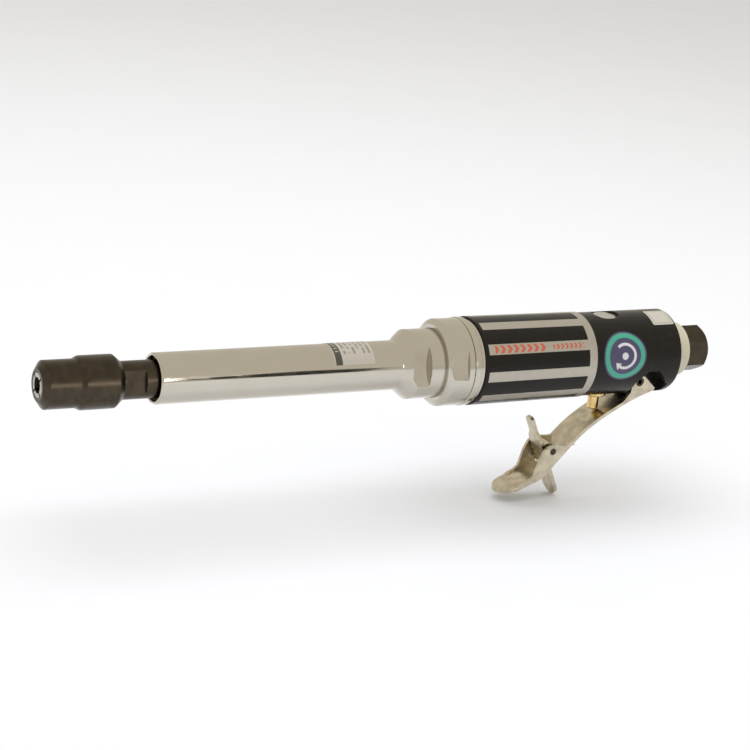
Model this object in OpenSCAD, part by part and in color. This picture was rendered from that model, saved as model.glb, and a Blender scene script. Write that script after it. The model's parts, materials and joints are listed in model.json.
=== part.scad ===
// Extended-reach pneumatic die grinder: collet chuck on a long spindle in a chromed
// extension tube, a vane air motor in a round grip, and a lever throttle with a lock-off.
// +X runs along the spindle from the collet mouth to the air inlet, +Z is up,
// and the throttle lever hangs on the -Z side.

/* [Collet chuck] */
// Shank diameter that the collet grips
shank_d = 6; // [5.8:0.1:6.2]
// Outer diameter of the nut's front part
nut_front_d = 18.2; // [17.8:0.1:18.8]
// Outer diameter of the nut's rear part
nut_rear_d = 20.2; // [19.4:0.1:21]
// Length of the collet nut
nut_len = 31.3; // [30.5:0.1:32]
// Width of each slit in the collet
collet_slit_w = 0.8; // [0.5:0.1:1]

/* [Spindle] */
// Diameter of the neck behind the nut
neck_d = 14.5; // [14.2:0.1:14.8]
// Distance across the neck's wrench flats
neck_flats = 11.2; // [10.6:0.1:12]
// Length of neck that shows between the nut and the tube
neck_len = 13.5; // [12.5:0.5:14.5]

/* [Extension tube] */
// Outer diameter of the tube
tube_d = 19.5; // [19.2:0.1:20]
// Length of the tube from its mouth to the clamp collar
tube_len = 118.2; // [112:0.2:124]
// Outer diameter of the bell at the tube's rear end
bell_d = 27.6; // [27:0.1:28.2]
// Distance across the bell's wrench flats
bell_flats = 22.6; // [22.2:0.1:24]

/* [Grip] */
// Outer diameter of the clamp collar
collar_d = 34.8; // [34.4:0.1:35.4]
// Distance across the collar's side flats
collar_flats = 32.8; // [32.2:0.1:33.6]
// Outer diameter at the front of the grip sleeve
sleeve_front_d = 35.6; // [35.2:0.1:36]
// Outer diameter at the rear of the grip sleeve
sleeve_rear_d = 34.9; // [34.6:0.1:35.2]
// Length of the grip sleeve
sleeve_len = 52.6; // [52:0.1:53]
// Outer diameter of the handle housing
housing_d = 34.2; // [34:0.1:34.4]
// Length of housing that shows behind the sleeve
housing_len = 41.8; // [41.4:0.1:42.4]

/* [Air inlet] */
// Distance across the flats of the inlet hexagon
inlet_hex = 17.2; // [17:0.1:18]
// Length of the inlet hexagon
inlet_hex_len = 11.2; // [11:0.1:13]
// Minor diameter of the female quarter-inch pipe thread
inlet_thread_d = 11.4; // [11.2:0.1:11.8]

/* [Throttle] */
// Width of the throttle lever
lever_w = 14.5; // [14.2:0.1:14.8]
// Thickness of the lever's sheet steel
lever_t = 1.4; // [1.2:0.1:1.5]
// Length of the lock lever's upper arm
lock_arm = 16; // [14.6:0.1:16.2]
// Length of the lock lever's thumb tab
lock_tab = 21.5; // [20:0.1:21.8]

/* [Motor] */
// Number of rotor vanes
vane_count = 5; // [4:1:5]
// Number of balls in each bearing
ball_count = 9; // [7:1:9]

/* [Hidden] */
$fn = 72;

eps = 0.01;
fit = 0.05;            // radial running clearance
gap = 0.3;             // side clearance between moving sheet parts

// Stations along the spindle
x_nut_end = nut_len;
x_mouth = x_nut_end + neck_len;
x_collar = x_mouth + tube_len;
x_ring = x_collar + 11.3;
x_sleeve = x_ring + 4.5;
x_housing = x_sleeve + sleeve_len;
x_rear = x_housing + housing_len;
x_hex = x_rear + 8.3;
x_end = x_hex + inlet_hex_len;
x_thread = x_end - 11;

// Spindle and bearings
journal_r = 4;
race_r = 8;
bearing_w = 5;
ball_r = 1.3;
ball_pitch_r = 6;
race_gap = 0.9;
x_front_bearing = x_mouth + 8;
x_rear_bearing = x_front_bearing + 82;
x_flare = x_collar - 17.3;
x_bell = x_collar - 11.5;
x_flange = x_collar + 2;
flange_r = 15;
flat_turn = 11;         // how far the wrench flats are turned about the tube, in degrees

// Motor
bore_r = 13.6;
x_motor = x_flange + 3;
plate_w = 7;
x_liner = x_motor + plate_w;
liner_len = 40;
x_rear_plate = x_liner + liner_len;
x_motor_end = x_rear_plate + plate_w;
rotor_r = 10.7;
liner_bore_r = 11.6;
liner_offset = 0.8;
vane_w = 1.8;

// Air inlet
screen_r = 5;

// Throttle valve, on a vertical axis
x_valve = x_housing + 12;
housing_r = housing_d / 2;
bottom_flat = housing_r - 0.9;
stem_r = 2.3;
stem_tip = -24.3;
seat_z = -0.4;
seat_r = 2.2;
chamber_r = 4.6;
valve_ball_r = 3;
ball_z = seat_z + sqrt(pow(valve_ball_r, 2) - pow(seat_r, 2));
cap_z = 11.5;
cap_r = 5.1;
cap_top = 16.2;

// Lever and lock lever, in the vertical plane of the spindle
pivot = [x_housing + 29.3, -11.3];
pin_r = 1.9;
ear_r = 3.1;
lock_pivot = [x_housing - 9.4, -39.25];
lock_pin_r = 1.4;
lock_hub_r = 2.5;
lock_hub_w = 6.4;
lock_w = 9.2;
arm_w = 4.8;
lock_t = 1.5;
lock_lean = 24.4;
lock_face = 3.2;
slot_w = lock_w + 2 * gap + 0.4;
spoon_x = lock_pivot[0] - 14.55;
// Underside of the lever from the pivot ears to the spoon tip, as a curve through these points
web_path = [[29, -18.2], [24.1, -20.3], [12, -26.9], [3, -33.6], [-6, -43], [-13, -50.4],
    [-18.8, -53], [-24.4, -55.2], [-32, -57.5]];

// Curve and sweep helpers

// Point at t (0 to 1) on the Catmull-Rom span between the middle two of four points
function span(a, b, c, d, t) = 0.5 * (2 * b + (c - a) * t + (2 * a - 5 * b + 4 * c - d) * t * t
    + (3 * b - a - 3 * c + d) * t * t * t);
function pick(p, i) = p[min(max(i, 0), len(p) - 1)];
// Smooth curve through all points of p, with n steps a span
function smooth(p, n) = [for (i = [0 : len(p) - 2]) for (k = [0 : n - (i < len(p) - 2 ? 1 : 0)])
    span(pick(p, i - 1), p[i], p[i + 1], pick(p, i + 2), k / n)];
function unit(v) = v / norm(v);
// Direction at point i of curve p
function along(p, i) = unit(pick(p, i + 1) - pick(p, i - 1));
// Curve p moved sideways by d, to the right of its direction
function beside(p, d) = [for (i = [0 : len(p) - 1]) p[i] + d * [along(p, i)[1], -along(p, i)[0]]];
function reversed(p) = [for (i = [len(p) - 1 : -1 : 0]) p[i]];

// Solid turned about the X axis from an outline of [radius, station] points
module turned(outline) {
    rotate([0, 90, 0]) rotate_extrude($fn = 96) polygon(outline);
}

// Plain ring about the X axis
module ring(x, w, r_out, r_in) {
    turned([[r_in, x], [r_out, x], [r_out, x + w], [r_in, x + w]]);
}

// Cylinder along X
module rod_x(x, l, r) {
    translate([x, 0, 0]) rotate([0, 90, 0]) cylinder(r = r, h = l);
}

// Cylinder along Y centred on the plane of symmetry, at p = [x, z]
module rod_y(p, l, r) {
    translate([p[0], 0, p[1]]) rotate([90, 0, 0]) cylinder(r = r, h = l, center = true);
}

// Outline in the X-Z plane, given thickness w along Y about y
module plate_y(w, y = 0) {
    translate([0, y, 0]) rotate([90, 0, 0]) linear_extrude(w, center = true) children();
}

// Helical spring standing on z = 0
module coil(r, wire_r, turns, height) {
    steps = 18;
    sides = 8;
    count = turns * steps;
    function place(i, k) = let (a = 360 * i / steps, b = 360 * k / sides)
        [(r + wire_r * cos(b)) * cos(a), (r + wire_r * cos(b)) * sin(a),
        wire_r + (height - 2 * wire_r) * i / count + wire_r * sin(b)];
    points = [for (i = [0 : count]) for (k = [0 : sides - 1]) place(i, k)];
    walls = [for (i = [0 : count - 1]) for (k = [0 : sides - 1])
        let (a = i * sides + k, b = i * sides + (k + 1) % sides) [a, a + sides, b + sides, b]];
    start = [for (k = [0 : sides - 1]) k];
    finish = [for (k = [sides - 1 : -1 : 0]) count * sides + k];
    polyhedron(points, concat(walls, [start, finish]), convexity = 10);
}

// Bearing parts, each with its front face at station x
module groove(x) {
    rotate([0, 90, 0]) rotate_extrude($fn = 96)
        translate([ball_pitch_r, x + bearing_w / 2]) circle(r = ball_r + fit, $fn = 32);
}

module inner_race(x) {
    color("silver") difference() {
        ring(x, bearing_w, ball_pitch_r - race_gap, journal_r);
        groove(x);
    }
}

module outer_race(x) {
    color("silver") difference() {
        ring(x, bearing_w, race_r, ball_pitch_r + race_gap);
        groove(x);
    }
}

module balls(x) {
    color("gainsboro") for (i = [0 : ball_count - 1])
        rotate([360 * i / ball_count, 0, 0])
            translate([x + bearing_w / 2, 0, ball_pitch_r]) sphere(r = ball_r, $fn = 32);
}

// Rotating parts

module collet_nut() {
    color("dimgray") difference() {
        turned([[4.75, 0], [6.2, 0], [nut_front_d / 2, 2], [nut_front_d / 2, 13.8],
            [nut_rear_d / 2, 15.9], [nut_rear_d / 2, x_nut_end - 2.7], [7.8, x_nut_end],
            [neck_d / 2 + gap, x_nut_end], [neck_d / 2 + gap, x_nut_end - 3.5],
            [7 + fit, x_nut_end - 3.5], [7 + fit, 7.5], [5.8, 7.5], [5.8, 3.2]]);
    }
}

module collet() {
    color("lightgray") difference() {
        turned([[shank_d / 2, 0], [4.65, 0], [5.7, 3.2], [5.7, 12], [4.5, 20], [shank_d / 2, 20]]);
        for (a = [0, 90])
            rotate([a + 45, 0, 0])
                translate([-1, -collet_slit_w / 2, -8]) cube([16, collet_slit_w, 16]);
    }
}

module spindle() {
    neck_r = neck_d / 2;
    color("dimgray") difference() {
        turned([[5.75, 8.4], [6.6, 8], [7, 8.6], [7, x_nut_end - 3], [neck_r, x_nut_end - 2.6],
            [neck_r, x_mouth + 3.5], [5.2, x_mouth + 4.5], [5.2, x_front_bearing],
            [journal_r, x_front_bearing], [journal_r, x_rear_bearing + bearing_w],
            [3, x_rear_bearing + bearing_w], [3, x_collar - 1], [0, x_collar - 1],
            [0, 22], [4.3, 21], [4.55, 20], [5.75, 12]]);
        for (s = [-1, 1])
            rotate([-6, 0, 0])
                translate([x_nut_end + 0.5, s * (neck_flats / 2 + 5) - 5, -10]) cube([8.4, 10, 20]);
    }
}

module spindle_circlip() {
    color("dimgray") ring(x_front_bearing + bearing_w, 0.8, 5.1, journal_r);
}

module drive_coupling() {
    x = x_collar - 9;
    color("gray") difference() {
        ring(x, 13, 5.5, 3);
        for (a = [0, 90]) rotate([a, 0, 0]) translate([x + 10.5, -0.75, -6]) cube([4, 1.5, 12]);
    }
}

module rotor() {
    slot_bottom = 5.6;
    color("darkgray") difference() {
        turned([[0, x_collar], [3, x_collar], [3, x_motor - 1], [journal_r, x_motor - 1],
            [journal_r, x_liner + 0.1], [rotor_r, x_liner + 0.1],
            [rotor_r, x_rear_plate - 0.1], [journal_r, x_rear_plate - 0.1],
            [journal_r, x_motor_end - 1], [0, x_motor_end - 1]]);
        for (i = [0 : vane_count - 1])
            rotate([360 * i / vane_count + 90, 0, 0])
                translate([x_liner - 1, -vane_w / 2 - fit, slot_bottom])
                    cube([liner_len + 2, vane_w + 2 * fit, 8]);
    }
}

module rotor_vanes() {
    color("saddlebrown") for (i = [0 : vane_count - 1])
        rotate([360 * i / vane_count + 90, 0, 0])
            translate([x_liner + 0.2, -vane_w / 2, 5.7]) cube([liner_len - 0.4, vane_w, 4.9]);
}

// Extension tube and its bearings

module extension_tube() {
    r = tube_d / 2;
    bell_r = bell_d / 2;
    color("lightsteelblue") difference() {
        turned([[8.6, x_mouth + 0.3], [8.9, x_mouth], [r - 0.5, x_mouth], [r, x_mouth + 0.7],
            [r, x_flare], [r + 0.6, x_flare + 1.4], [bell_r - 0.9, x_bell - 1.2],
            [bell_r, x_bell], [bell_r, x_flange], [flange_r, x_flange], [flange_r, x_motor],
            [9.8, x_motor], [9.8, x_bell + 2], [race_r, x_bell - 4],
            [race_r, x_rear_bearing + bearing_w], [race_r, x_front_bearing], [8.6, x_front_bearing]]);
        for (s = [-1, 1])
            rotate([-flat_turn, 0, 0])
                translate([x_bell - 2.1, s * (bell_flats / 2 + 5) - 5, -15]) cube([7.2, 10, 30]);
    }
}

module bearing_retainer() {
    x = x_front_bearing - 3.5;
    color("dimgray") difference() {
        ring(x, 3.5, 8.6, 6.4);
        for (a = [0, 90]) rotate([a, 0, 0]) translate([x - 1, -0.9, -9]) cube([2.2, 1.8, 18]);
    }
}

module dust_seal() {
    color("darkslategray") ring(x_front_bearing - 3.4, 2.6, 6.4, 5.3);
}

module bearing_spacer() {
    x = x_front_bearing + bearing_w;
    color("gray") ring(x, x_rear_bearing - x, race_r, 7);
}

// Grip

module clamp_collar() {
    r = collar_d / 2;
    color("silver") difference() {
        turned([[bell_d / 2 + 0.15, x_collar], [15.4, x_collar], [r - 0.6, x_collar + 1.4],
            [r, x_collar + 2.2], [r, x_ring - 0.4], [r - 0.4, x_ring], [15.5, x_ring],
            [15.5, x_flange], [bell_d / 2 + 0.15, x_flange]]);
        for (s = [-1, 1])
            rotate([-flat_turn, 0, 0])
                translate([x_collar - 1, s * (collar_flats / 2 + 5) - 5, -20]) cube([9.6, 10, 40]);
    }
}

module spacer_ring() {
    r = sleeve_front_d / 2;
    color("silver") turned([[15.5, x_ring], [r - 0.5, x_ring], [r - 0.1, x_ring + 0.4],
        [r - 0.1, x_sleeve - 1.9], [r - 0.7, x_sleeve - 1.6], [r - 0.7, x_sleeve], [15.5, x_sleeve]]);
}

module grip_sleeve() {
    front_r = sleeve_front_d / 2;
    rear_r = sleeve_rear_d / 2;
    color("dimgray") turned([[16, x_sleeve], [front_r - 0.3, x_sleeve],
        [front_r, x_sleeve + 0.3], [rear_r, x_housing - 0.3], [rear_r - 0.3, x_housing], [16, x_housing]]);
}

module ear_pocket() {
    x = pivot[0];
    rib = lever_w / 2 - lever_t - gap;
    for (s = [-1, 1])
        plate_y(20, s * (rib + 10))
            polygon([[x - 7.4, -30], [x - 7.4, -8.6], [x - 3.2, -3.8], [x + 2.9, -3.8],
                [x + 9.6, -11], [x + 9.6, -30]]);
}

module handle_housing() {
    r = housing_r;
    inlet_r = 7;
    color("dimgray") difference() {
        turned([[bore_r, x_motor + 0.1], [15.4, x_motor + 0.1], [15.4, x_sleeve], [16, x_sleeve],
            [16, x_housing], [r, x_housing], [r, x_rear - 1.1], [r - 0.3, x_rear - 0.4],
            [r - 1.1, x_rear], [inlet_r, x_rear], [inlet_r, x_rear - 11], [0, x_rear - 11],
            [0, x_motor_end + 3], [bore_r, x_motor_end + 3]]);
        // Throttle valve bore, its spot faces and the milled flat under the housing
        translate([x_valve, 0, -20]) cylinder(r = chamber_r, h = 20 + cap_z);
        translate([x_valve, 0, cap_z]) cylinder(r = cap_r + fit, h = 10);
        translate([x_valve, 0, cap_top]) cylinder(r = cap_r + 0.8, h = 10);
        translate([x_valve - 6, -10, -bottom_flat - 10]) cube([60, 20, 10]);
        // Air passages from the inlet to the valve and from the valve to the motor
        translate([x_valve, 0, 4]) rotate([0, 90, 0]) cylinder(r = 2.5, h = x_rear - 10 - x_valve);
        translate([x_motor_end + 2, 0, -6]) rotate([0, 90, 0])
            cylinder(r = 2.5, h = x_valve - x_motor_end - 2);
        // Exhaust passages to the silencer ring
        for (a = [0, 35, 145, 180]) rotate([-a, 0, 0])
            translate([x_motor_end + 2, -9.3, 0]) rotate([0, 90, 0]) cylinder(r = 1.5, h = 80);
        ear_pocket();
        rod_y(pivot, 40, pin_r);
    }
}

// Motor stator

module front_end_plate() {
    color("gray") difference() {
        ring(x_motor, plate_w, bore_r, journal_r + 0.2);
        rod_x(x_motor - 1, bearing_w + 1, race_r);
        translate([x_motor + 2, 0, 12.3]) rotate([0, 90, 0]) cylinder(r = 1, h = 10);
    }
}

module rear_end_plate() {
    color("gray") difference() {
        ring(x_rear_plate, plate_w, bore_r, journal_r + 0.2);
        rod_x(x_rear_plate + 2, bearing_w + 1, race_r);
        translate([x_rear_plate - 1, 0, 12.3]) rotate([0, 90, 0]) cylinder(r = 1, h = 5);
        for (a = [220, 240, 260]) rotate([a, 0, 0])
            translate([x_rear_plate - 1, 0, 11]) rotate([0, 90, 0]) cylinder(r = 1.2, h = 10);
    }
}

module cylinder_liner() {
    color("darkgray") difference() {
        rod_x(x_liner, liner_len, bore_r);
        translate([0, 0, -liner_offset]) rod_x(x_liner - 1, liner_len + 2, liner_bore_r);
        translate([x_liner - 1, 0, 12.3]) rotate([0, 90, 0]) cylinder(r = 1, h = liner_len + 2);
        for (k = [-2 : 2]) translate([x_liner + liner_len / 2 + 6 * k, 0, 0])
            rotate([60, 0, 0]) cylinder(r = 1.4, h = 20);
    }
}

module locating_pin() {
    color("silver") translate([x_motor + 2, 0, 12.3]) rotate([0, 90, 0])
        cylinder(r = 1, h = liner_len + 9);
}

module wave_washer() {
    color("silver") ring(x_motor - 0.6, 0.6, 9.6, 8.2);
}

// Throttle valve

module valve_bushing() {
    z = -bottom_flat;
    color("goldenrod") translate([x_valve, 0, 0]) difference() {
        rotate_extrude($fn = 72) polygon([[stem_r + fit, z - 1.6], [4.5, z - 1.6], [4.95, z - 1.2],
            [4.95, z], [chamber_r, z], [chamber_r, z + 7], [stem_r + fit, z + 7]]);
        translate([0, 0, z + 3.5]) rotate_extrude($fn = 72)
            translate([chamber_r, 0]) circle(r = 0.7, $fn = 24);
    }
}

module bushing_o_ring() {
    color("black") translate([x_valve, 0, 3.5 - bottom_flat]) difference() {
        rotate_extrude($fn = 72) translate([chamber_r, 0]) circle(r = 0.7, $fn = 24);
        difference() {
            translate([0, 0, -2]) cylinder(r = chamber_r + 2, h = 4);
            translate([0, 0, -3]) cylinder(r = chamber_r, h = 6);
        }
    }
}

module valve_seat() {
    color("white") translate([x_valve, 0, 0]) rotate_extrude($fn = 72)
        polygon([[seat_r, seat_z], [chamber_r, seat_z], [chamber_r, seat_z - 2.4], [seat_r, seat_z - 2.4]]);
}

module valve_ball() {
    color("silver") translate([x_valve, 0, ball_z]) sphere(r = valve_ball_r, $fn = 48);
}

module valve_spring() {
    z = ball_z + 2.4;
    color("silver") translate([x_valve, 0, z]) coil(2.3, 0.35, 5, cap_z - z);
}

module valve_cap() {
    color("silver") translate([x_valve, 0, 0]) difference() {
        rotate_extrude($fn = 72) polygon([[0, cap_z], [chamber_r - 0.6, cap_z], [cap_r, cap_z + 0.6],
            [cap_r, cap_top - 0.5], [cap_r - 0.5, cap_top], [0, cap_top]]);
        translate([0, 0, cap_z + 2]) rotate_extrude($fn = 72) translate([cap_r, 0]) circle(r = 0.6, $fn = 24);
    }
}

module cap_o_ring() {
    color("black") translate([x_valve, 0, cap_z + 2]) difference() {
        rotate_extrude($fn = 72) translate([cap_r, 0]) circle(r = 0.6, $fn = 24);
        difference() {
            translate([0, 0, -2]) cylinder(r = cap_r + 2, h = 4);
            translate([0, 0, -3]) cylinder(r = cap_r, h = 6);
        }
    }
}

module throttle_pin() {
    dome_r = 3.2;
    rise = dome_r - sqrt(pow(dome_r, 2) - pow(stem_r, 2));
    color("gold") translate([x_valve, 0, 0]) {
        intersection() {
            translate([0, 0, stem_tip]) cylinder(r = stem_r, h = -9 - stem_tip);
            union() {
                translate([0, 0, stem_tip + dome_r]) sphere(r = dome_r, $fn = 64);
                translate([0, 0, stem_tip + rise]) cylinder(r = 4, h = 30);
            }
        }
        translate([0, 0, -9 - eps]) cylinder(r = 1.2, h = 9 + ball_z - valve_ball_r);
    }
}

// Lever, lock and pins

web_under = [for (p = smooth(web_path, 6)) [x_housing + p[0], p[1]]];

module lever_web() {
    intersection() {
        plate_y(lever_w) polygon(concat(web_under, reversed(beside(web_under, lever_t))));
        union() {
            translate([spoon_x, 0, -80]) cylinder(r = lever_w / 2, h = 80);
            translate([spoon_x, -lever_w / 2, -80]) cube([80, lever_w, 80]);
        }
    }
}

module lever_flange() {
    p = lock_pivot;
    polygon([p + [10.5, 2.6], p + [5, 2.3], p + [1, 2.6], p + [-1.8, 2.2], p + [-3.6, 1],
        p + [-4.8, -1], p + [-5.9, -3.6], p + [-6.9, -7.2], p + [-7.8, -10.2], p + [-9.6, -11.6],
        p + [-12.5, -12.9], p + [-14.3, -14.5], p + [-14.3, -15.2], p + [-9.4, -13.1],
        p + [-3.2, -10.1], p + [0.4, -6.2], p + [5, -1.2], p + [7.6, 1.5]]);
}

module lever_ear() {
    p = pivot;
    polygon([p + [-ear_r, 0.2], p + [-ear_r - 0.9, -4.5], p + [-7.6, -9.1], p + [-6, -8.7],
        p + [7.2, -4.1], p + [7.8, -3.4], p + [7.5, -2.7], p + [2.3, 2.1]]);
    translate(p) circle(r = ear_r);
}

module throttle_lever() {
    side = (lever_w - lever_t) / 2;
    color("tan") difference() {
        union() {
            lever_web();
            for (s = [-1, 1]) {
                plate_y(lever_t, s * side) lever_flange();
                plate_y(lever_t, s * side) lever_ear();
            }
        }
        rod_y(pivot, 40, pin_r + fit);
        rod_y(lock_pivot, 40, lock_pin_r);
        // Slot that the lock lever passes through
        translate([lock_pivot[0] - 1.5, -slot_w / 2, -70]) cube([6, slot_w, 40]);
    }
}

module lever_pin() {
    color("black") difference() {
        rod_y(pivot, lever_w + 0.2, pin_r);
        rod_y(pivot, 40, 0.9);
    }
}

// Outline of the lock lever's plate: round-ended tab below, narrower arm above
module lock_outline() {
    r = lock_w / 2;
    translate([0, r - lock_tab]) circle(r = r);
    polygon([[-r, r - lock_tab], [r, r - lock_tab], [r, 5.5], [arm_w / 2, 9],
        [arm_w / 2, lock_arm - 1], [arm_w / 2 - 1, lock_arm], [1 - arm_w / 2, lock_arm],
        [-arm_w / 2, lock_arm - 1], [-arm_w / 2, 9], [-r, 5.5]]);
}

module lock_lever() {
    color("tan") difference() {
        union() {
            rod_y(lock_pivot, lock_hub_w, lock_hub_r);
            translate([lock_pivot[0], 0, lock_pivot[1]]) rotate([0, -lock_lean, 0])
                translate([-lock_face, 0, 0]) rotate([90, 0, 90]) linear_extrude(lock_t) lock_outline();
        }
        rod_y(lock_pivot, 40, lock_pin_r + fit);
        // Room for the spring beside the hub
        for (s = [-1, 1])
            translate([lock_pivot[0], s * (lock_hub_w / 2 + 5), lock_pivot[1]]) rotate([90, 0, 0])
                cylinder(r = lock_hub_r, h = 10, center = true);
    }
}

module lock_pin() {
    color("black") rod_y(lock_pivot, lever_w + 0.1, lock_pin_r);
}

module lock_spring() {
    side = lock_hub_w / 2 + 0.2;
    color("gray") translate([lock_pivot[0], side, lock_pivot[1]]) rotate([-90, 0, 0])
        coil(1.95, 0.3, 3, lever_w / 2 - lever_t - side - 0.1);
}

// Air inlet

module silencer_ring() {
    color("beige") turned([[7.4, x_rear], [10.7, x_rear], [11.1, x_rear + 0.4],
        [11.1, x_hex - 0.4], [10.7, x_hex], [7.4, x_hex]]);
}

module inlet_bushing() {
    corner_r = inlet_hex / sqrt(3);
    color("dimgray") difference() {
        union() {
            intersection() {
                translate([x_hex, 0, 0]) rotate([0, 90, 0]) cylinder(r = corner_r, h = inlet_hex_len, $fn = 6);
                turned([[0, x_hex], [corner_r + 1, x_hex], [corner_r + 1, x_end - 2.4],
                    [inlet_hex / 2 - 0.4, x_end], [0, x_end]]);
            }
            rod_x(x_rear - 10.5, 10.5 + 8.3 + eps, 7);
        }
        rod_x(x_thread, 12, inlet_thread_d / 2);
        rod_x(x_thread - 1, 2, screen_r);
        rod_x(x_rear - 12, 30, 4);
        turned([[0, x_end - 0.7], [inlet_thread_d / 2, x_end - 0.7], [inlet_thread_d / 2 + 0.8, x_end + eps],
            [0, x_end + eps]]);
    }
}

module inlet_screen() {
    color("silver") difference() {
        rod_x(x_thread - 0.9, 0.8, screen_r);
        for (y = [-3 : 1 : 3]) for (z = [-3 : 1 : 3]) if (norm([y, z]) < 3.7)
            translate([x_thread - 2, y * 1.2, z * 1.2]) rotate([0, 90, 0])
                cylinder(r = 0.4, h = 3, $fn = 16);
    }
}

collet_nut();
collet();
spindle();
spindle_circlip();
drive_coupling();
rotor();
rotor_vanes();
inner_race(x_front_bearing);  // front_spindle_inner_race
inner_race(x_rear_bearing);  // rear_spindle_inner_race
inner_race(x_motor);  // front_motor_inner_race
inner_race(x_rear_plate + 2);  // rear_motor_inner_race
balls(x_front_bearing);  // front_spindle_balls
balls(x_rear_bearing);  // rear_spindle_balls
balls(x_motor);  // front_motor_balls
balls(x_rear_plate + 2);  // rear_motor_balls
extension_tube();
bearing_retainer();
dust_seal();
outer_race(x_front_bearing);  // front_spindle_outer_race
outer_race(x_rear_bearing);  // rear_spindle_outer_race
bearing_spacer();
clamp_collar();
spacer_ring();
grip_sleeve();
handle_housing();
front_end_plate();
rear_end_plate();
cylinder_liner();
outer_race(x_motor);  // front_motor_outer_race
outer_race(x_rear_plate + 2);  // rear_motor_outer_race
locating_pin();
wave_washer();
valve_bushing();
bushing_o_ring();
valve_seat();
valve_cap();
cap_o_ring();
valve_spring();
throttle_pin();
valve_ball();
throttle_lever();
lever_pin();
lock_lever();
lock_pin();
lock_spring();
silencer_ring();
inlet_bushing();
inlet_screen();
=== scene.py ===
import json
import math

import bmesh
import bpy
from mathutils import Euler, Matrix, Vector


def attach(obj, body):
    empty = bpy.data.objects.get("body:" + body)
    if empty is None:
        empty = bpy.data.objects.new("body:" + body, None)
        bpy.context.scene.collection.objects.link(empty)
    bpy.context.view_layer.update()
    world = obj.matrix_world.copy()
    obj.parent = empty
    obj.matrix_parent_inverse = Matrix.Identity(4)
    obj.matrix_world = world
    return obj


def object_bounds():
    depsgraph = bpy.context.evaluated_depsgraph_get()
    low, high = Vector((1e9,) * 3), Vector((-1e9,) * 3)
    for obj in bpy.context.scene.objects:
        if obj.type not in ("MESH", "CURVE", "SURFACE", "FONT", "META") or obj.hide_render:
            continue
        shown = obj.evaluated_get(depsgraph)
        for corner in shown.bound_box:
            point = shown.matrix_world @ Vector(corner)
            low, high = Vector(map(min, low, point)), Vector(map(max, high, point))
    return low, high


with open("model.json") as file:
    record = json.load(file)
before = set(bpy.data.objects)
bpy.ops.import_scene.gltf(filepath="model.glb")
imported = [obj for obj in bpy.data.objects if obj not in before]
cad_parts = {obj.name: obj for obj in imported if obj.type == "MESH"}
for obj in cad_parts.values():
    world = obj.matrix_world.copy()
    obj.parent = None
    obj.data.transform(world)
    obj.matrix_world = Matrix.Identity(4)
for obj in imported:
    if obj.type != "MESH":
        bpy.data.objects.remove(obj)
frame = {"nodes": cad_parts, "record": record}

# Extended-reach air die grinder. Places in the scene are metres. Sizes in the materials, labels and
# roundings are millimetres, with +X along the spindle from the collet, +Z up and the lever below.

MM = 0.001
DEGREES = 180 / math.pi  # in one radian
EDGE_START = 0.03  # 1 less the cosine of the turn at which an edge starts to look rubbed
NODES = frame["nodes"]
cad_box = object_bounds()


# ---------------------------------------------------------------- material helpers

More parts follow.
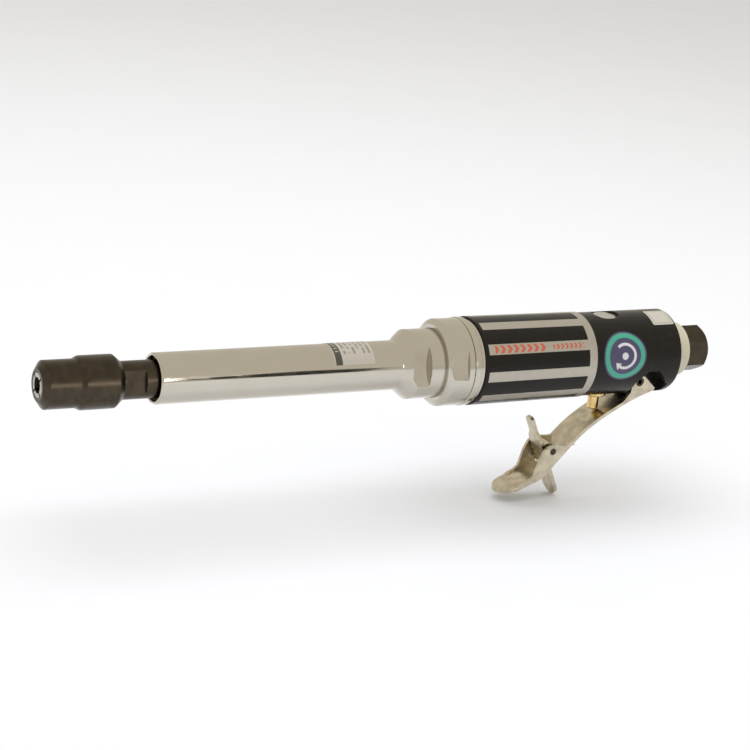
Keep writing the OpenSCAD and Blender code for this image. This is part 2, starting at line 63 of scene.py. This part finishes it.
class Paint:
    """One node material, with short calls for the nodes that it needs."""

    def __init__(self, name, metallic=0.0, roughness=0.4, **sockets):
        self.material = bpy.data.materials.new(name)
        self.material.use_nodes = True
        self.tree = self.material.node_tree
        self.tree.nodes.clear()
        output = self.tree.nodes.new("ShaderNodeOutputMaterial")
        self.shader = self.tree.nodes.new("ShaderNodeBsdfPrincipled")
        self.tree.links.new(self.shader.outputs[0], output.inputs["Surface"])
        self.set("Metallic", metallic)
        self.set("Roughness", roughness)
        for key, value in sockets.items():
            self.set(key.replace("_", " "), value)
        place = self.tree.nodes.new("ShaderNodeTexCoord")
        scale = self.tree.nodes.new("ShaderNodeVectorMath")
        scale.operation = "SCALE"
        self.tree.links.new(place.outputs["Object"], scale.inputs[0])
        scale.inputs["Scale"].default_value = 1 / MM
        self.mm = scale.outputs[0]
        apart = self.tree.nodes.new("ShaderNodeSeparateXYZ")
        self.tree.links.new(self.mm, apart.inputs[0])
        self.x, self.y, self.z = apart.outputs

    def set(self, socket, value):
        """Feeds a socket of the shader, found by its name."""
        self.feed(self.shader.inputs[socket], value)

    def feed(self, socket, value):
        """Links a socket to another node's output, or sets it to a constant."""
        if isinstance(value, bpy.types.NodeSocket):
            self.tree.links.new(value, socket)
        elif socket.type == "RGBA":
            socket.default_value = (*value, 1.0)
        else:
            socket.default_value = value

    def math(self, operation, *values):
        node = self.tree.nodes.new("ShaderNodeMath")
        node.operation = operation
        for socket, value in zip(node.inputs, values):
            self.feed(socket, value)
        return node.outputs[0]

    def plus(self, first, second):
        return self.math("ADD", first, second)

    def minus(self, first, second):
        return self.math("SUBTRACT", first, second)

    def times(self, first, second):
        return self.math("MULTIPLY", first, second)

    def absolute(self, value):
        return self.math("ABSOLUTE", value)

    def length(self, first, second):
        """Length of the vector (first, second)."""
        return self.math("SQRT", self.plus(self.times(first, first), self.times(second, second)))

    def vector(self, x, y, z):
        node = self.tree.nodes.new("ShaderNodeCombineXYZ")
        for socket, value in zip(node.inputs, (x, y, z)):
            self.feed(socket, value)
        return node.outputs[0]

    def noise(self, scale, detail=3.0, roughness=0.55, at=None):
        node = self.tree.nodes.new("ShaderNodeTexNoise")
        self.feed(node.inputs["Vector"], self.mm if at is None else at)
        node.inputs["Scale"].default_value = scale
        node.inputs["Detail"].default_value = detail
        node.inputs["Roughness"].default_value = roughness
        return node.outputs["Fac"]

    def cells(self, scale):
        """Distance to the nearest of many scattered points."""
        node = self.tree.nodes.new("ShaderNodeTexVoronoi")
        self.feed(node.inputs["Vector"], self.mm)
        node.inputs["Scale"].default_value = scale
        return node.outputs["Distance"]

    def span(self, value, low, high, to_low=0.0, to_high=1.0):
        """Maps low..high to to_low..to_high, and holds the ends beyond them."""
        node = self.tree.nodes.new("ShaderNodeMapRange")
        for socket, number in zip(node.inputs, (value, low, high, to_low, to_high)):
            self.feed(socket, number)
        return node.outputs[0]

    def between(self, value, low, high, soft=0.06):
        """1 where value is between low and high, with soft edges."""
        rise = self.span(value, low - soft, low + soft)
        fall = self.span(value, high - soft, high + soft, 1.0, 0.0)
        return self.times(rise, fall)

    def blend(self, share, first, second):
        """first where share is 0, second where it is 1, as a colour."""
        node = self.tree.nodes.new("ShaderNodeMix")
        node.data_type = "RGBA"
        self.feed(node.inputs[0], share)
        self.feed(node.inputs[6], first)
        self.feed(node.inputs[7], second)
        return node.outputs[2]

    def any(self, *masks):
        """The largest of the masks."""
        total = masks[0]
        for mask in masks[1:]:
            total = self.math("MAXIMUM", total, mask)
        return total

    def edges(self, radius, high):
        """1 along the outer and inner edges of the piece, from how far rounding turns the surface."""
        rounded = self.tree.nodes.new("ShaderNodeBevel")
        rounded.samples = 4
        rounded.inputs["Radius"].default_value = radius * MM
        plain = self.tree.nodes.new("ShaderNodeNewGeometry")
        dot = self.tree.nodes.new("ShaderNodeVectorMath")
        dot.operation = "DOT_PRODUCT"
        self.tree.links.new(rounded.outputs[0], dot.inputs[0])
        self.tree.links.new(plain.outputs["Normal"], dot.inputs[1])
        turn = self.minus(1.0, dot.outputs["Value"])
        return self.span(turn, EDGE_START, high)

    def bump(self, height, distance, strength):
        node = self.tree.nodes.new("ShaderNodeBump")
        node.inputs["Strength"].default_value = strength
        node.inputs["Distance"].default_value = distance * MM
        self.feed(node.inputs["Height"], height)
        self.tree.links.new(node.outputs[0], self.shader.inputs["Normal"])

    def radius(self):
        """Distance from the spindle's axis, in mm."""
        return self.length(self.y, self.z)

    def turn(self):
        """Angle about the spindle in degrees, 0 on the -Y side and 90 on top."""
        angle = self.math("ARCTAN2", self.z, self.times(self.y, -1.0))
        return self.times(angle, DEGREES)

    def lathe(self, scale, detail=4.0):
        """Fine lines that run around the spindle, as a lathe or a polishing wheel leaves."""
        drift = self.noise(0.02, 1.0)
        along = self.plus(self.x, self.times(self.radius(), 0.73))
        place = self.vector(along, self.times(drift, 0.3), 0.0)
        return self.noise(scale, detail, 0.7, at=place)

    def scratches(self, scale, stretch, lean):
        """Short sparse hairlines that lie along X and lean by lean."""
        along = self.times(self.x, 1 / stretch)
        across = self.plus(self.turn(), self.times(self.x, lean))
        place = self.vector(along, self.times(across, 0.5), 0.0)
        lines = self.noise(scale, 1.0, 0.5, at=place)
        sparse = self.noise(0.18, 1.0)
        return self.times(self.span(lines, 0.62, 0.70), self.span(sparse, 0.45, 0.65))


# ---------------------------------------------------------------- materials

def chrome():
    """Bright chromium plate on steel: a clear mirror with faint polishing lines and smudges."""
    p = Paint("chrome_plate", metallic=1.0)
    smudge = p.noise(0.11, 4.0, 0.6)
    fine = p.lathe(6.0, 5.0)
    hair = p.scratches(1.6, 14.0, 0.7)
    tint = p.blend(smudge, (0.60, 0.565, 0.49), (0.54, 0.505, 0.435))
    p.set("Base Color", p.blend(p.times(hair, 0.25), tint, (0.42, 0.40, 0.36)))
    rough = p.span(smudge, 0.35, 0.75, 0.055, 0.12)
    p.set("Roughness", p.plus(rough, p.times(hair, 0.18)))
    p.bump(p.plus(fine, p.times(hair, -0.6)), 0.0012, 0.35)
    return p.material


def black_oxide():
    """Blackened steel: warm near-black, with turning lines and bare metal rubbed bright on its edges."""
    p = Paint("black_oxide_steel", metallic=1.0)
    cloud = p.noise(0.22, 5.0, 0.65)
    fine = p.lathe(7.0, 4.0)
    rub = p.times(p.edges(0.45, 0.4), p.span(p.noise(0.6, 3.0), 0.38, 0.62))
    spots = p.span(p.noise(1.7, 4.0, 0.7), 0.66, 0.74)
    dark = p.blend(p.span(cloud, 0.3, 0.7), (0.050, 0.040, 0.028), (0.082, 0.066, 0.048))
    worn = p.blend(p.times(spots, 0.35), dark, (0.17, 0.14, 0.11))
    p.set("Base Color", p.blend(p.times(rub, 0.55), worn, (0.36, 0.33, 0.29)))
    p.set("Roughness", p.span(cloud, 0.3, 0.7, 0.24, 0.36))
    p.bump(fine, 0.006, 0.35)
    return p.material


def tool_steel():
    """Ground steel with lines around the spindle."""
    p = Paint("ground_steel", metallic=1.0)
    tone = (0.50, 0.47, 0.42)
    fine = p.lathe(8.0, 5.0)
    stain = p.noise(0.5, 4.0)
    dull = tuple(0.72 * v for v in tone)
    p.set("Base Color", p.blend(p.span(stain, 0.35, 0.7), tone, dull))
    p.set("Roughness", p.span(fine, 0.3, 0.7, 0.20, 0.36))
    p.bump(fine, 0.005, 0.4)
    return p.material


def bearing_steel():
    p = Paint("bearing_steel", metallic=1.0)
    film = p.noise(0.8, 3.0)
    p.set("Base Color", p.blend(film, (0.62, 0.61, 0.59), (0.50, 0.49, 0.46)))
    p.set("Roughness", p.span(film, 0.3, 0.7, 0.07, 0.16))
    p.bump(p.lathe(10.0), 0.002, 0.3)
    return p.material


def vane_composite():
    """Laminated phenolic cloth: brown layers with a faint weave."""
    p = Paint("vane_laminate")
    layers = p.noise(2.4, 2.0, at=p.vector(p.times(p.x, 0.08), p.y, p.z))
    weave = p.times(p.math("SINE", p.times(p.x, 9.0)),
                    p.math("SINE", p.times(p.radius(), 9.0)))
    p.set("Base Color", p.blend(layers, (0.16, 0.065, 0.022), (0.27, 0.125, 0.05)))
    p.set("Roughness", p.span(layers, 0.3, 0.7, 0.45, 0.6))
    p.bump(weave, 0.02, 0.4)
    return p.material


def black_rubber():
    p = Paint("black_rubber", roughness=0.55)
    grain = p.noise(6.0, 3.0)
    p.set("Base Color", p.blend(grain, (0.010, 0.010, 0.010), (0.024, 0.023, 0.021)))
    p.bump(grain, 0.02, 0.3)
    return p.material


PLUG_X = 243.4
GRAIN_LEAN = 38.0  # slope of the grain on the lever, in degrees
SLEEVE_REAR = 231.4
SKIN_START, SKIN_FULL = 16.9, 17.1  # radii between which the sleeve's markings fade in
STRIPE_PITCH, STRIPE_WIDTH, STRIPE_CENTRE = 36.0, 13.8, 30.4
STRIPES_START, BAND_START = 180.4, 227.5
ARROW_R = 17.6  # radius at which the height of the arrow heads is measured
# Rows of arrow heads: start and end station, half height, pitch, and the share of the pitch that is red
ARROW_ROWS = ((183.2, 207.4, 1.6, 3.1, 0.52), (210.4, 225.0, 1.1, 2.1, 0.48))


def striped_sleeve():
    """Black lacquered sleeve with silver foil stripes, and plain red arrows on one of them."""
    p = Paint("striped_sleeve", Specular_IOR_Level=0.22)
    wobble = p.times(p.minus(p.noise(1.3, 3.0), 0.5), 0.35)
    turn = p.plus(p.turn(), wobble)
    shifted = p.plus(turn, 360 + STRIPE_PITCH / 2 - STRIPE_CENTRE)
    local = p.minus(p.math("MODULO", shifted, STRIPE_PITCH), STRIPE_PITCH / 2)
    half = STRIPE_WIDTH / 2
    on_stripe = p.between(local, -half, half, 0.25)
    length = p.between(p.x, STRIPES_START, SLEEVE_REAR + 1)
    band = p.between(p.x, BAND_START, SLEEVE_REAR - 0.25)
    skin = p.span(p.radius(), SKIN_START, SKIN_FULL)
    silver = p.times(skin, p.any(p.times(on_stripe, length), band))

    # Red arrow heads in two sizes, along the stripe that is centred on STRIPE_CENTRE
    side = p.absolute(p.times(p.minus(turn, STRIPE_CENTRE), ARROW_R / DEGREES))
    rows = []
    for start, stop, tall, pitch, share in ARROW_ROWS:
        swept = p.minus(p.x, p.times(side, -0.75))
        phase = p.math("FRACT", p.math("DIVIDE", swept, pitch))
        within = p.times(p.between(side, -1.0, tall, 0.05), p.between(p.x, start, stop))
        rows.append(p.times(p.between(phase, 0.2, 0.2 + share, 0.03), within))
    red = p.any(*rows)

    scuff = p.span(p.noise(0.9, 5.0, 0.7), 0.60, 0.72)
    rub = p.times(p.edges(0.35, 0.35), p.span(p.noise(0.7, 3.0), 0.4, 0.6))
    black = p.blend(p.noise(0.35, 4.0), (0.0060, 0.0050, 0.0036), (0.0105, 0.0090, 0.0066))
    black = p.blend(p.times(scuff, 0.25), black, (0.055, 0.050, 0.042))
    foil = p.blend(p.noise(0.6, 4.0), (0.50, 0.465, 0.41), (0.42, 0.39, 0.34))
    foil = p.blend(p.times(scuff, 0.18), foil, (0.36, 0.34, 0.30))
    foil = p.blend(p.times(red, 0.92), foil, (0.50, 0.085, 0.035))
    paint = p.blend(silver, black, foil)
    p.set("Base Color", p.blend(p.times(rub, 0.5), paint, (0.40, 0.38, 0.34)))
    bare = p.times(silver, p.minus(1.0, red))
    p.set("Metallic", p.times(bare, 0.72))
    gloss = p.span(p.noise(0.25, 3.0), 0.3, 0.7, 0.20, 0.30)
    p.set("Roughness", p.plus(gloss, p.times(silver, 0.14)))
    relief = p.plus(silver, p.times(p.noise(5.0, 4.0), 0.25))
    p.bump(p.plus(relief, p.times(red, 0.5)), 0.02, 0.5)
    return p.material


def black_anodised():
    """Glossy black hard-anodised aluminium with rubbed edges, a few nicks and faint turning lines."""
    p = Paint("black_anodised", Specular_IOR_Level=0.22)
    cloud = p.noise(0.3, 5.0, 0.6)
    rub = p.times(p.edges(0.4, 0.4), p.span(p.noise(0.8, 3.0), 0.42, 0.62))
    nick = p.span(p.noise(2.3, 4.0, 0.75), 0.70, 0.76)
    hair = p.scratches(2.0, 9.0, -1.1)
    base = p.blend(cloud, (0.0060, 0.0050, 0.0036), (0.0115, 0.0098, 0.0072))
    base = p.blend(p.times(hair, 0.3), base, (0.085, 0.078, 0.066))
    base = p.blend(p.times(nick, 0.35), base, (0.13, 0.12, 0.10))
    p.set("Base Color", p.blend(p.times(rub, 0.55), base, (0.34, 0.32, 0.28)))
    p.set("Metallic", p.times(rub, 0.8))
    p.set("Roughness", p.span(cloud, 0.3, 0.7, 0.22, 0.34))
    p.bump(p.plus(p.lathe(6.0), p.times(p.noise(7.0, 3.0), 0.5)), 0.008, 0.35)
    return p.material


def brass():
    p = Paint("turned_brass", metallic=1.0)
    stain = p.noise(0.7, 5.0, 0.65)
    rings = p.noise(9.0, 4.0, at=p.vector(p.z, 0.0, 0.0))
    p.set("Base Color", p.blend(p.span(stain, 0.35, 0.72), (0.86, 0.64, 0.30), (0.58, 0.37, 0.13)))
    p.set("Roughness", p.span(stain, 0.3, 0.7, 0.14, 0.30))
    p.bump(rings, 0.006, 0.4)
    return p.material


def seat_plastic():
    p = Paint("seat_plastic", roughness=0.42, Subsurface_Weight=0.1)
    p.set("Base Color", p.blend(p.noise(1.2, 3.0), (0.74, 0.73, 0.69), (0.66, 0.65, 0.60)))
    p.bump(p.noise(5.0, 2.0), 0.008, 0.3)
    return p.material


def satin_silver():
    """Plug over the valve: satin silver with a circular grain about its own upright axis."""
    p = Paint("satin_silver", metallic=1.0)
    from_axis = p.length(p.minus(p.x, PLUG_X), p.y)
    grain = p.noise(7.0, 4.0, at=p.vector(from_axis, 0.0, 0.0))
    stain = p.noise(0.6, 4.0)
    p.set("Base Color", p.blend(p.span(stain, 0.4, 0.7), (0.66, 0.65, 0.63), (0.50, 0.48, 0.44)))
    p.set("Roughness", p.span(grain, 0.3, 0.7, 0.22, 0.36))
    p.bump(grain, 0.008, 0.4)
    return p.material


def satin_nickel():
    """Nickel-plated sheet: long grain, dull patches, bright on the cut edges."""
    p = Paint("satin_nickel", metallic=1.0)
    tone = (0.64, 0.57, 0.43)
    c, s = math.cos(math.radians(GRAIN_LEAN)), math.sin(math.radians(GRAIN_LEAN))
    along = p.plus(p.times(p.x, c), p.times(p.z, s))
    across = p.minus(p.times(p.z, c), p.times(p.x, s))
    grain = p.noise(3.2, 5.0, 0.7, at=p.vector(p.times(along, 0.06), p.y, across))
    patch = p.noise(0.25, 4.0, 0.6)
    pits = p.span(p.noise(3.1, 3.0, 0.7), 0.68, 0.76)
    rub = p.edges(0.35, 0.4)
    dull = tuple(0.70 * v for v in tone)
    base = p.blend(p.span(patch, 0.38, 0.68), tone, dull)
    base = p.blend(p.times(pits, 0.4), base, (0.22, 0.19, 0.14))
    p.set("Base Color", p.blend(p.times(rub, 0.45), base, (0.76, 0.72, 0.64)))
    p.set("Roughness", p.plus(p.span(patch, 0.3, 0.7, 0.16, 0.30), p.times(grain, 0.08)))
    p.bump(grain, 0.010, 0.45)
    return p.material


def cream_plastic():
    """Sintered silencer ring: cream, slightly grubby, with a fine open grain."""
    p = Paint("cream_silencer", roughness=0.5)
    grain = p.noise(7.0, 3.0, 0.6)
    pores = p.span(p.cells(2.6), 0.08, 0.22, 1.0, 0.0)
    dirt = p.span(p.noise(0.5, 4.0, 0.65), 0.5, 0.8)
    base = p.blend(grain, (0.62, 0.585, 0.46), (0.52, 0.485, 0.37))
    base = p.blend(p.times(dirt, 0.35), base, (0.40, 0.36, 0.26))
    p.set("Base Color", p.blend(p.times(pores, 0.3), base, (0.30, 0.27, 0.20)))
    p.bump(p.minus(grain, pores), 0.03, 0.5)
    return p.material


# Labels. X is the centre of the round one and the front edge of the others; turns are in degrees.
ROUND_X, ROUND_TURN, ROUND_R = 244.8, 12.1, 10.4
RATING_X, RATING_WIDE, RATING_LOW, RATING_HIGH = 116.3, 17.4, 24.0, 152.0
STICKER_X, STICKER_WIDE, STICKER_LOW, STICKER_HIGH = 261.7, 10.2, 54.8, 88.0
HOUSING_R, TUBE_R = 17.1, 9.75


def round_label():
    """Round label: an indigo disc with a teal ring and a plain white arrow that runs round it."""
    p = Paint("round_label", roughness=0.38)
    u = p.minus(p.x, ROUND_X)
    v = p.times(p.minus(p.turn(), ROUND_TURN), HOUSING_R / DEGREES)
    r = p.length(u, v)
    round_by = p.times(p.math("ARCTAN2", v, u), DEGREES)
    ring = p.between(r, 7.6, 9.7, 0.08)
    arc_r, arc_start, arc_end, head_length = 4.9, -120.0, 130.0, 2.6
    arc = p.times(p.between(r, arc_r - 0.6, arc_r + 0.6, 0.08),
                  p.between(round_by, arc_start, arc_end, 0.6))
    # The arrow's head narrows to a point beyond the start of the arc
    reach = p.times(p.minus(round_by, arc_start), -arc_r / DEGREES)
    off = p.absolute(p.minus(r, arc_r))
    half_width = p.times(p.minus(head_length, reach), 0.62)
    head = p.times(p.between(reach, 0.0, head_length, 0.05), p.math("LESS_THAN", off, half_width))
    hub = p.math("LESS_THAN", r, 1.5)
    ink = p.blend(p.noise(1.2, 3.0), (0.050, 0.045, 0.105), (0.066, 0.058, 0.130))
    teal = p.blend(p.noise(0.9, 3.0), (0.045, 0.33, 0.235), (0.060, 0.38, 0.275))
    face = p.blend(ring, ink, teal)
    face = p.blend(p.any(arc, head, hub), face, (0.62, 0.62, 0.66))
    worn = p.times(p.span(p.noise(1.9, 4.0, 0.7), 0.62, 0.72), 0.25)
    p.set("Base Color", p.blend(worn, face, (0.16, 0.15, 0.17)))
    p.bump(p.noise(4.0, 3.0), 0.006, 0.3)
    return p.material


def rating_label():
    """Foil rating label round the tube: a dark edge band and rows of plain bars where text would be."""
    p = Paint("rating_label", roughness=0.34)
    u = p.minus(p.x, RATING_X)
    v = p.times(p.minus(p.turn(), RATING_LOW), TUBE_R / DEGREES)
    row_pitch, mark_pitch = 2.1, 1.7
    band = p.between(u, 0.5, 3.4, 0.06)
    rows = p.math("DIVIDE", u, row_pitch)
    row = p.math("FRACT", rows)
    chunks = p.span(p.noise(0.9, 1.0, at=p.vector(p.math("FLOOR", rows), v, 3.0)), 0.45, 0.47)
    bars = p.times(p.times(p.between(row, 0.25, 0.7, 0.05), chunks),
                   p.times(p.between(u, 4.6, 17.0), p.between(v, 4.4, 19.5)))
    marks = p.times(p.between(p.math("FRACT", p.math("DIVIDE", v, mark_pitch)), 0.3, 0.7, 0.04),
                    p.times(p.between(u, 1.3, 2.7), p.between(v, 5.0, 19.0)))
    foil = p.blend(p.noise(0.7, 4.0), (0.56, 0.53, 0.48), (0.50, 0.475, 0.43))
    face = p.blend(p.times(bars, 0.6), foil, (0.14, 0.13, 0.11))
    face = p.blend(band, face, (0.060, 0.055, 0.042))
    face = p.blend(p.times(marks, 0.8), face, (0.40, 0.38, 0.33))
    p.set("Base Color", face)
    p.set("Metallic", p.times(p.minus(1.0, band), 0.45))
    p.bump(p.noise(5.0, 3.0), 0.006, 0.3)
    return p.material


def blank_sticker():
    """Small silver sticker with a thin border line and nothing on it."""
    p = Paint("blank_sticker", roughness=0.4)
    border, thick = 3.95, 0.25
    u = p.absolute(p.minus(p.x, STICKER_X + STICKER_WIDE / 2))
    from_middle = p.minus(p.turn(), (STICKER_LOW + STICKER_HIGH) / 2)
    v = p.absolute(p.times(from_middle, HOUSING_R / DEGREES))
    inset = p.math("MAXIMUM", u, v)
    line = p.between(inset, border, border + thick, 0.05)
    foil = p.blend(p.noise(0.8, 4.0), (0.62, 0.60, 0.55), (0.54, 0.52, 0.47))
    p.set("Base Color", p.blend(p.times(line, 0.7), foil, (0.12, 0.115, 0.10)))
    p.set("Metallic", 0.3)
    p.bump(p.noise(5.0, 3.0), 0.006, 0.3)
    return p.material


SLOTS = {
    "black_oxide": black_oxide(),
    "tool_steel": tool_steel(),
    "vane_composite": vane_composite(),
    "bearing_steel": bearing_steel(),
    "chrome": chrome(),
    "black_rubber": black_rubber(),
    "striped_sleeve": striped_sleeve(),
    "black_anodised": black_anodised(),
    "brass": brass(),
    "white_plastic": seat_plastic(),
    "satin_silver": satin_silver(),
    "satin_nickel": satin_nickel(),
    "cream_plastic": cream_plastic(),
}

# Width of the small rounding on each node's edges, in mm
ROUNDING = {"throttle_lever": 0.28, "lock_lever": 0.3, "inlet_bushing": 0.25, "handle_housing": 0.2,
            "clamp_collar": 0.22, "extension_tube": 0.2, "collet": 0.08, "bearing_retainer": 0.1,
            "spindle_circlip": 0.1, "inlet_screen": 0.0, "lock_spring": 0.0, "valve_spring": 0.0,
            "dust_seal": 0.1, "lever_pin": 0.15, "lock_pin": 0.2, "silencer_ring": 0.1}
DEFAULT_ROUNDING = 0.15


def finish_node(name, node, slot):
    """Gives a CAD node its material, a weld of its face borders and a small rounding of its edges."""
    node.data.materials.clear()
    node.data.materials.append(SLOTS[slot])
    node.data.polygons.foreach_set("material_index", [0] * len(node.data.polygons))
    node.data.polygons.foreach_set("use_smooth", [True] * len(node.data.polygons))
    weld = node.modifiers.new("weld", "WELD")
    weld.merge_threshold = 0.002 * MM
    width = ROUNDING.get(name, DEFAULT_ROUNDING)
    if width:
        bevel = node.modifiers.new("edges", "BEVEL")
        bevel.width = width * MM
        bevel.segments = 2
        bevel.limit_method = "ANGLE"
        bevel.angle_limit = math.radians(28)
        bevel.harden_normals = True
    # Long faces keep their true normals where a shallow cone meets them
    even = node.modifiers.new("even", "WEIGHTED_NORMAL")
    even.weight = 90
    even.keep_sharp = True


slot_of = {row["node"]: row["material_slot"] for row in frame["record"]["subparts"]}
for name, node in NODES.items():
    finish_node(name, node, slot_of[name])


# ---------------------------------------------------------------- labels

def wrapped(name, rows, radius, material):
    """A thin label round the spindle's axis from rows of (station, turn) points, all of one length."""
    lift, depth = 0.07, 0.02  # how far it stands out of the surface and reaches into it
    shape = bmesh.new()

    def lay(rise):
        return [[shape.verts.new((x * MM, -(radius + rise) * math.cos(math.radians(a)) * MM,
                                  (radius + rise) * math.sin(math.radians(a)) * MM))
                 for x, a in row] for row in rows]

    top, under = lay(lift), lay(-depth)
    last, end = len(rows) - 1, len(rows[0]) - 1
    for i in range(last):
        for k in range(end):
            shape.faces.new((top[i][k], top[i][k + 1], top[i + 1][k + 1], top[i + 1][k]))
            shape.faces.new((under[i][k], under[i + 1][k], under[i + 1][k + 1], under[i][k + 1]))
    for i in range(last):
        shape.faces.new((top[i][0], top[i + 1][0], under[i + 1][0], under[i][0]))
        shape.faces.new((top[i][end], under[i][end], under[i + 1][end], top[i + 1][end]))
    for k in range(end):
        shape.faces.new((top[0][k], under[0][k], under[0][k + 1], top[0][k + 1]))
        shape.faces.new((top[last][k], top[last][k + 1], under[last][k + 1], under[last][k]))
    bmesh.ops.remove_doubles(shape, verts=shape.verts, dist=0.0001 * MM)
    bmesh.ops.recalc_face_normals(shape, faces=shape.faces)
    mesh = bpy.data.meshes.new(name)
    shape.to_mesh(mesh)
    shape.free()
    mesh.materials.append(material)
    piece = bpy.data.objects.new(name, mesh)
    bpy.context.scene.collection.objects.link(piece)
    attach(piece, "tool_body")


def steps(low, high, count):
    """count + 1 even steps from low to high."""
    return [low + (high - low) * i / count for i in range(count + 1)]


def patch(x, wide, low, high, radius):
    """Rows for a rectangle with slightly rounded corners."""
    corner, rows_wide, rows_corner = 0.7, 24, 5
    tall = math.radians(high - low) * radius
    rows = []
    stations = steps(0, wide, rows_wide) + steps(0, corner, rows_corner)
    stations += steps(wide - corner, wide, rows_corner)
    for u in sorted(set(stations)):
        edge = max(corner - min(u, wide - u), 0.0)
        cut = math.degrees((corner - math.sqrt(max(corner ** 2 - edge ** 2, 0.0))) / radius)
        rows.append([(x + u, a) for a in steps(low + cut, high - cut, max(8, int(tall * 2)))])
    return rows


def disc(x, turn, reach, radius):
    """Rows for a disc: each is a chord of it."""
    chords, points = 56, 40
    rows = []
    for b in steps(-90, 90, chords):
        u = reach * math.sin(math.radians(b))
        half = math.degrees(max(reach * math.cos(math.radians(b)), 0.001) / radius)
        rows.append([(x + u, a) for a in steps(turn - half, turn + half, points)])
    return rows


wrapped("round_label", disc(ROUND_X, ROUND_TURN, ROUND_R, HOUSING_R), HOUSING_R,
        round_label())
wrapped("rating_label", patch(RATING_X, RATING_WIDE, RATING_LOW, RATING_HIGH, TUBE_R), TUBE_R,
        rating_label())
wrapped("rear_sticker", patch(STICKER_X, STICKER_WIDE, STICKER_LOW, STICKER_HIGH, HOUSING_R), HOUSING_R,
        blank_sticker())


# ---------------------------------------------------------------- floor, light and camera

COOL_WHITE, WARM_WHITE = (0.97, 0.98, 1.0), (1.0, 0.97, 0.92)


def soft_light(name, place, aim, width, height, power, colour, mirrored):
    """A rectangular lamp at place that faces aim; mirrored lets polished parts reflect it."""
    lamp = bpy.data.lights.new(name, "AREA")
    lamp.shape = "RECTANGLE"
    lamp.size = width
    lamp.size_y = height
    lamp.energy = power
    lamp.color = colour
    rig = bpy.data.objects.new(name, lamp)
    bpy.context.scene.collection.objects.link(rig)
    rig.location = place
    rig.rotation_euler = (Vector(aim) - Vector(place)).to_track_quat("-Z", "Y").to_euler()
    rig.visible_glossy = mirrored


def build_floor():
    """A wide pale floor just below the tool's lowest point."""
    gap, half = 0.0004, 30.0
    low = cad_box[0][2] - gap
    mesh = bpy.data.meshes.new("floor")
    corners = [(-half, -half, low), (half, -half, low), (half, half, low), (-half, half, low)]
    mesh.from_pydata(corners, [], [range(len(corners))])
    floor = bpy.data.objects.new("floor", mesh)
    bpy.context.scene.collection.objects.link(floor)
    p = Paint("pale_floor", roughness=0.7)
    p.set("Base Color", p.blend(p.noise(0.02, 2.0), (0.835, 0.865, 0.945), (0.855, 0.885, 0.96)))
    mesh.materials.append(p.material)


def build_world():
    """Even warm light from all round."""
    world = bpy.data.worlds.new("studio")
    bpy.context.scene.world = world
    world.use_nodes = True
    tree = world.node_tree
    tree.nodes.clear()
    output = tree.nodes.new("ShaderNodeOutputWorld")
    sky = tree.nodes.new("ShaderNodeBackground")
    sky.inputs["Color"].default_value = (0.73, 0.69, 0.605, 1.0)
    tree.links.new(sky.outputs[0], output.inputs[0])


def build_dark_card():
    """A dark card that no camera sees; its reflection draws the dark line along the polished tube."""
    depth = -0.8
    mesh = bpy.data.meshes.new("dark_card")
    corners = [(0.385, 0.03), (0.47, -0.055), (0.54, -0.055), (0.56, 0.10), (0.50, 0.20), (0.385, 0.09)]
    mesh.from_pydata([(x, depth, z) for x, z in corners], [], [range(len(corners))])
    card = bpy.data.objects.new("dark_card", mesh)
    bpy.context.scene.collection.objects.link(card)
    p = Paint("dark_cloth", roughness=0.9, Specular_IOR_Level=0.1)
    p.set("Base Color", p.blend(p.noise(0.05, 2.0), (0.030, 0.031, 0.030), (0.055, 0.056, 0.052)))
    mesh.materials.append(p.material)
    card.visible_camera = False


def build_camera():
    camera = bpy.data.cameras.new("camera")
    camera.lens = 108.1
    camera.sensor_width = 36.0
    camera.clip_start = 0.01
    rig = bpy.data.objects.new("camera", camera)
    bpy.context.scene.collection.objects.link(rig)
    rig.location = (-0.27426, -0.73441, 0.25069)
    rig.rotation_euler = Euler([math.radians(a) for a in (73.113, -5.557, -27.684)])
    bpy.context.scene.camera = rig


bpy.context.scene.view_settings.view_transform = "Standard"
build_floor()
build_world()
build_dark_card()
build_camera()
soft_light("overhead", (0.15, 0.1, 1.1), (0.15, 0.0, 0.0), 1.4, 1.4, 10.0, COOL_WHITE, mirrored=False)
soft_light("strip", (0.325, -0.8, 0.125), (0.02, 0.0, 0.0), 0.09, 0.17, 0.5, WARM_WHITE, mirrored=True)
